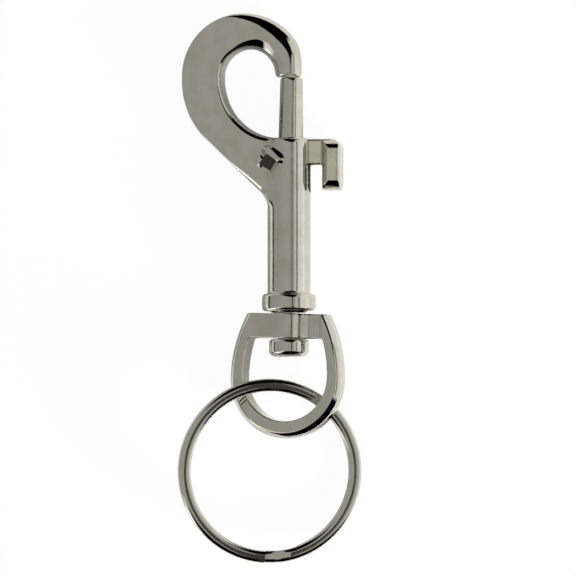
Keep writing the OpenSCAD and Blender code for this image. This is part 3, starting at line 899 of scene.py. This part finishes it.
def ring_station(degrees):
    a = math.radians(degrees)
    layer = mix(0.5, -0.5, ease(-degrees, *RING_STEPS_DOWN)) * (RING_WIRE_T + RING_GAP)
    return [((RING_MEAN_R + p) * math.cos(a), (RING_MEAN_R + p) * math.sin(a), q + layer)
            for p, q in soft_rectangle(RING_WIRE_W / 2, RING_WIRE_T / 2, RING_EDGE, RING_EDGE)]


ring = roll_up("key_ring", [ring_station(RING_FROM - RING_STEP * i) for i in range(RING_STATIONS)])
ring_roll = Matrix.Rotation(math.radians(RING_ROLL), 4, "Y")
ring_pitch = Matrix.Rotation(math.radians(RING_PITCH), 4, "X")
ring_place = Matrix.Translation(RING_MIDDLE * MM) @ ring_roll @ ring_pitch @ Matrix.Scale(MM, 4)
settle(ring, ring_place, wire_nickel, "ring", "split_ring")

# %% [markdown]
# ## The floor
# The snap lies on a white sweep. More lamps would make the paper white, but they would also wash out the
# metal. So the paper is diffuse and keeps a faint shadow, and a light of strength 1 is mixed in for
# camera rays, and a little of it for rays that come from the metal.

# %% White paper sweep
FLOOR_SIZE = 6
CAMERA_SHARE = 0.96
METAL_SHARE = 0.12
bpy.ops.object.select_all(action="DESELECT")
bpy.ops.mesh.primitive_plane_add(size=FLOOR_SIZE)
floor = bpy.context.object
floor.name = "floor"
# Matt white paper: even and bright, with no sheen
white_sweep, tree = empty_material("white_paper_sweep")
paper = add(tree, "ShaderNodeBsdfDiffuse", Color=linear("#F0F0EE"))
lift = add(tree, "ShaderNodeEmission", Color=(1, 1, 1, 1), Strength=1.0)
rays = add(tree, "ShaderNodeLightPath")
mirrored = add(tree, "ShaderNodeMath",
               {0: rays.outputs["Is Glossy Ray"], 1: rays.outputs["Is Transmission Ray"]},
               operation="MAXIMUM")
in_metal = add(tree, "ShaderNodeMath", {0: mirrored.outputs[0], 1: METAL_SHARE}, operation="MULTIPLY")
lifted = add(tree, "ShaderNodeMath",
             {0: rays.outputs["Is Camera Ray"], 1: CAMERA_SHARE, 2: in_metal.outputs[0]},
             operation="MULTIPLY_ADD")
both = add(tree, "ShaderNodeMixShader",
           {0: lifted.outputs[0], 1: paper.outputs["BSDF"], 2: lift.outputs["Emission"]})
add(tree, "ShaderNodeOutputMaterial", {"Surface": both.outputs["Shader"]})
floor.data.materials.append(white_sweep)
print("floor of", FLOOR_SIZE, "m with", white_sweep.name)

# %% [markdown]
# ## The studio
# Metal shows what stands around it. Panels could be set up round the snap, but they would also shade
# the floor, so the world itself is a plain studio of grey walls. One ramp runs over the snap from side
# to side, and another runs round it at its two ends, where walls are dark with light gaps between them.

# %% Walls of the studio
ACROSS = [(-91, "#0D0D0D"), (-83, "#272727"), (-80, "#A8A8A4"), (-40, "#ACACA8"), (0, "#B5B5B1"),
          (14, "#ADADA9"), (35, "#B0B0AC"), (38, "#DBDBD7"), (46, "#DDDDD9"), (50, "#B3B3AF"),
          (51.5, "#6C6C68"), (54.5, "#6C6C68"), (57, "#E7E7E3"), (62, "#F5F5F1"), (90, "#FFFFFB")]
AROUND = [(-180, "#ACACA8"), (-156, "#ACACA8"), (-148, "#FFFFFF"), (-130, "#FFFFFF"), (-124, "#040404"),
          (-30, "#040404"), (-24, "#F3F3EF"), (44, "#F3F3EF"), (51, "#040404"), (108, "#040404"),
          (115, "#ACACA8"), (180, "#ACACA8")]
ENDS_FROM, ENDS_TO = [math.sin(math.radians(d)) for d in (16, 22)]
world = bpy.data.worlds.new("studio")
bpy.context.scene.world = world
world.use_nodes = True
tree = world.node_tree
tree.nodes.clear()
way = add(tree, "ShaderNodeTexCoord").outputs["Generated"]
split = add(tree, "ShaderNodeSeparateXYZ", {"Vector": way})


def wall_ramp(angle, stops):
    turn = add(tree, "ShaderNodeMapRange",
               {"Value": angle.outputs[0], "From Min": -math.pi, "From Max": math.pi})
    colours = add(tree, "ShaderNodeValToRGB", {"Fac": turn.outputs["Result"]})
    ramp = colours.color_ramp
    while len(ramp.elements) < len(stops):
        ramp.elements.new(0.5)
    for element, (degrees, code) in zip(ramp.elements, stops):
        element.position = (degrees + 180) / 360
        element.color = linear(code)
    return colours.outputs["Color"]


over = add(tree, "ShaderNodeMath", {0: split.outputs["X"], 1: split.outputs["Z"]}, operation="ARCTAN2")
about = add(tree, "ShaderNodeMath", {0: split.outputs["Y"], 1: split.outputs["X"]}, operation="ARCTAN2")
level = add(tree, "ShaderNodeMath", {0: split.outputs["Y"]}, operation="ABSOLUTE")
at_ends = add(tree, "ShaderNodeMapRange",
              {"Value": level.outputs[0], "From Min": ENDS_FROM, "From Max": ENDS_TO},
              interpolation_type="SMOOTHSTEP")
walls = add(tree, "ShaderNodeMix",
            {0: at_ends.outputs["Result"], 6: wall_ramp(over, ACROSS), 7: wall_ramp(about, AROUND)},
            data_type="RGBA")
print("wall stops:", len(ACROSS), "across and", len(AROUND), "around")

# %% [markdown]
# ## The dark strip
# A dark line runs along the barrel in the metal, and it widens towards the hook. It is a narrow dark
# strip in the studio above the lever side. A painted line on the metal would stay there when the snap
# turns, but a strip in the studio slides over it as a real reflection does.

# %% A dark strip that widens and darkens towards the hook's end
STRIP_AT, STRIP_HALF, STRIP_GROWTH, STRIP_MOST = [math.radians(d) for d in (24.3, 2.2, 500, 22)]
STRIP_FROM = 0.1  # how far towards the hook's end the growth starts
STRIP_DARKENS = 5.0
STRIP_POWER = 2.0
STRIP_EDGE = (0.85, 1.15)
STRIP_SHADES = ("#383836", "#060606")
aside = add(tree, "ShaderNodeMath", {0: over.outputs[0], 1: STRIP_AT}, operation="SUBTRACT")
aside = add(tree, "ShaderNodeMath", {0: aside.outputs[0]}, operation="ABSOLUTE")
rise = add(tree, "ShaderNodeMath", {0: split.outputs["Y"], 1: STRIP_FROM}, operation="SUBTRACT",
           use_clamp=True)
depth = add(tree, "ShaderNodeMath", {0: rise.outputs[0], 1: STRIP_DARKENS}, operation="MULTIPLY",
            use_clamp=True)
shade = add(tree, "ShaderNodeMix", {0: depth.outputs[0]}, data_type="RGBA")
for socket, code in zip((6, 7), STRIP_SHADES):
    shade.inputs[socket].default_value = linear(code)
growth = add(tree, "ShaderNodeMath", {0: rise.outputs[0], 1: STRIP_POWER}, operation="POWER")
half = add(tree, "ShaderNodeMath", {0: growth.outputs[0], 1: STRIP_GROWTH, 2: STRIP_HALF},
           operation="MULTIPLY_ADD")
half = add(tree, "ShaderNodeMath", {0: half.outputs[0], 1: STRIP_MOST}, operation="MINIMUM")
beside = add(tree, "ShaderNodeMath", {0: aside.outputs[0], 1: half.outputs[0]}, operation="DIVIDE")
strip = add(tree, "ShaderNodeMapRange",
            {"Value": beside.outputs[0], "From Min": STRIP_EDGE[0], "From Max": STRIP_EDGE[1],
             "To Min": 1.0, "To Max": 0.0})
room = add(tree, "ShaderNodeMix",
           {0: strip.outputs["Result"], 6: walls.outputs[2], 7: shade.outputs[2]}, data_type="RGBA")
print("strip at", round(math.degrees(STRIP_AT), 1), "degrees from overhead")

# %% The studio for the metal, plain white for the camera
studio = add(tree, "ShaderNodeBackground", {"Color": room.outputs[2]}, Strength=1.0)
plain = add(tree, "ShaderNodeBackground", Color=(1, 1, 1, 1), Strength=1.0)
rays = add(tree, "ShaderNodeLightPath")
shown = add(tree, "ShaderNodeMixShader",
            {0: rays.outputs["Is Camera Ray"], 1: studio.outputs["Background"],
             2: plain.outputs["Background"]})
add(tree, "ShaderNodeOutputWorld", {"Surface": shown.outputs["Shader"]})
print("world nodes:", len(tree.nodes))

# %% [markdown]
# ## Lamps
# The world's light comes from all sides, so it casts hardly any shadow. A soft box low on the lever side
# gives the faint one in the photograph. The metal would show it as a white square, so it is hidden from
# reflections. A second, weak lamp draws a light edge on the side away from it.

# %% Soft lamps
LAMP_AWAY = 0.9


def lamp_at(name, azimuth, elevation, watts, width, height):
    place = slant(azimuth, -elevation) @ Vector((LAMP_AWAY, 0, 0))
    bpy.ops.object.select_all(action="DESELECT")
    bpy.ops.object.light_add(type="AREA", location=place)
    lamp = bpy.context.object
    lamp.name = name
    lamp.data.shape = "RECTANGLE"
    lamp.data.size, lamp.data.size_y = width, height
    lamp.data.energy = watts
    lamp.rotation_euler = place.to_track_quat("Z", "Y").to_euler()
    return lamp


soft_box = lamp_at("soft_box", azimuth=-38, elevation=20, watts=20.0, width=0.3, height=0.3)
soft_box.visible_glossy = False
lamp_at("edge_light", azimuth=-142, elevation=13, watts=0.3, width=0.2, height=0.3)

# %% [markdown]
# ## Camera
# The photograph looks straight down with a long lens, from a little towards the lever side. The image
# holds about 100 mm, and the barrel stands upright in it. The lens could be found by trial, but its
# length follows from the distance and from the pixels that a millimetre takes up.

# %% Camera over the snap
CAMERA_TILT = math.radians(10)
CAMERA_AWAY = 1.5
CAMERA_NEAR = 0.01
PIXELS_A_MM = 5.76
IMAGE = 576
AIM_RIGHT = 19.4  # pixels from the middle of the snap's box
SENSOR = 36.0
view = Vector((math.sin(CAMERA_TILT), 0, math.cos(CAMERA_TILT)))
right = axis.cross(view).normalized()
up = view.cross(right)
low, high = cad_box
middle = (Vector(low) + Vector(high)) / 2
aim = middle + right * AIM_RIGHT / PIXELS_A_MM * MM
lens = bpy.data.cameras.new("camera")
lens.lens = SENSOR * CAMERA_AWAY / (IMAGE / PIXELS_A_MM * MM)
lens.sensor_width = SENSOR
lens.clip_start = CAMERA_NEAR
camera = bpy.data.objects.new("camera", lens)
bpy.context.scene.collection.objects.link(camera)
facing = Matrix((right, up, view)).transposed().to_4x4()
camera.matrix_world = Matrix.Translation(aim + view * CAMERA_AWAY) @ facing
bpy.context.scene.camera = camera
bpy.context.scene.view_settings.view_transform = "Standard"
print("lens of", round(lens.lens), "mm")
